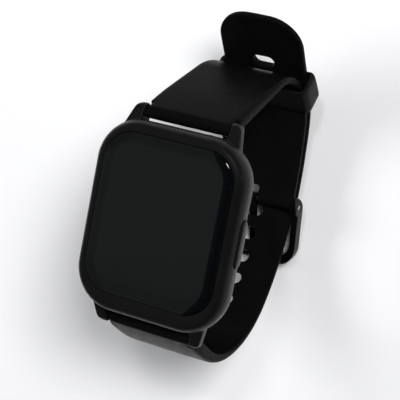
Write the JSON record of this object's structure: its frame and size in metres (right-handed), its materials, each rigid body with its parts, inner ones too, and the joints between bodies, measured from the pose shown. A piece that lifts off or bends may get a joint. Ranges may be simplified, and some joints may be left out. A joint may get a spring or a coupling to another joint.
{
  "type": "smartwatch",
  "caption": "Square smartwatch with a curved-edge cover glass, a side button and a two-piece silicone strap closed by a pin buckle and keeper.",
  "frame": {"origin": "centre of the wrist opening, on the axis of the wrist, 30 mm below the face of the glass", "axes": "+Z out of the screen, +Y to 12 o'clock, +X to 3 o'clock, the side with the button"},
  "size_m": [0.0353, 0.0762, 0.0551],
  "materials": {
    "case_body": "matte black",
    "cover_glass": "polished dark cover glass",
    "rubber_seal": "matte",
    "display": "glossy",
    "flex_film": "satin amber",
    "tray": "matte",
    "circuit_board": "solder mask green",
    "chips": "matte black",
    "battery_foil": "satin foil",
    "antenna_brass": "satin",
    "led": "clear green",
    "sensor_glass": "polished black",
    "gold_contact": "plated",
    "steel": "satin",
    "dark_steel": "black coated",
    "button_plastic": "satin black",
    "silicone": "satin black silicone"
  },
  "bodies": {
    "case": {"case_shell": "case_body", "cover_glass": "cover_glass", "glass_gasket": "rubber_seal", "display_panel": "display", "display_flex": "flex_film", "inner_frame": "tray", "main_board": "circuit_board", "board_chips": "chips", "battery": "battery_foil", "battery_pad": "rubber_seal", "vibration_motor": "steel", "antenna_strip": "antenna_brass", "sensor_board": "circuit_board", "sensor_leds": "led", "rear_cover": "case_body", "rear_gasket": "rubber_seal", "sensor_window": "sensor_glass", "charging_contacts": "gold_contact", "rear_screws": "dark_steel", "button_seal": "rubber_seal", "button_switch": "tray"},
    "button": {"side_button": "button_plastic", "button_clip": "steel", "switch_plunger": "tray"},
    "upper_strap": {"buckle_strap": "silicone", "upper_bar_tube": "steel", "upper_bar_fixed_pin": "steel", "upper_bar_spring": "steel", "buckle_bar": "steel"},
    "upper_release": {"upper_bar_release_pin": "steel"},
    "keeper": {"strap_keeper": "silicone"},
    "buckle": {"buckle_frame": "dark_steel"},
    "tongue": {"buckle_tongue": "dark_steel"},
    "lower_strap": {"tail_strap": "silicone", "lower_bar_tube": "steel", "lower_bar_fixed_pin": "steel", "lower_bar_spring": "steel"},
    "lower_release": {"lower_bar_release_pin": "steel"}
  },
  "joints": [
    {"name": "button_press", "type": "slide", "parent": "case", "child": "button", "axis": [-1, 0, 0], "range_m": [0, 0.00035], "stiffness_N_per_m": 400, "springref_m": -0.0006},
    {"name": "upper_strap_hinge", "type": "hinge", "parent": "case", "child": "upper_strap", "pos_m": [0, 0.0221, 0.0237], "axis": [1, 0, 0], "range_deg": [-0.1, 0.1]},
    {"name": "lower_strap_hinge", "type": "hinge", "parent": "case", "child": "lower_strap", "pos_m": [0, -0.0221, 0.0237], "axis": [1, 0, 0], "range_deg": [-0.1, 0.1]},
    {"name": "upper_pin_release", "type": "slide", "parent": "upper_strap", "child": "upper_release", "axis": [-1, 0, 0], "range_m": [0, 0.0013], "stiffness_N_per_m": 400, "springref_m": -0.0012, "deforming": ["upper_bar_spring"]},
    {"name": "lower_pin_release", "type": "slide", "parent": "lower_strap", "child": "lower_release", "axis": [-1, 0, 0], "range_m": [0, 0.0013], "stiffness_N_per_m": 400, "springref_m": -0.0012, "deforming": ["lower_bar_spring"]},
    {"name": "keeper_slide", "type": "slide", "parent": "upper_strap", "child": "keeper", "axis": [0, -0.6344, -0.773], "range_m": [-0.0004, 0.0004]},
    {"name": "buckle_hinge", "type": "hinge", "parent": "upper_strap", "child": "buckle", "pos_m": [0, 0.00404, -0.01809], "axis": [1, 0, 0], "range_deg": [-8, 0]},
    {"name": "tongue_hinge", "type": "hinge", "parent": "upper_strap", "child": "tongue", "pos_m": [0, 0.00404, -0.01809], "axis": [1, 0, 0], "range_deg": [0, 1]}
  ],
  "couplings": [
    {"joint": "lower_strap_hinge", "follows": "upper_strap_hinge", "ratio": 1}
  ]
}
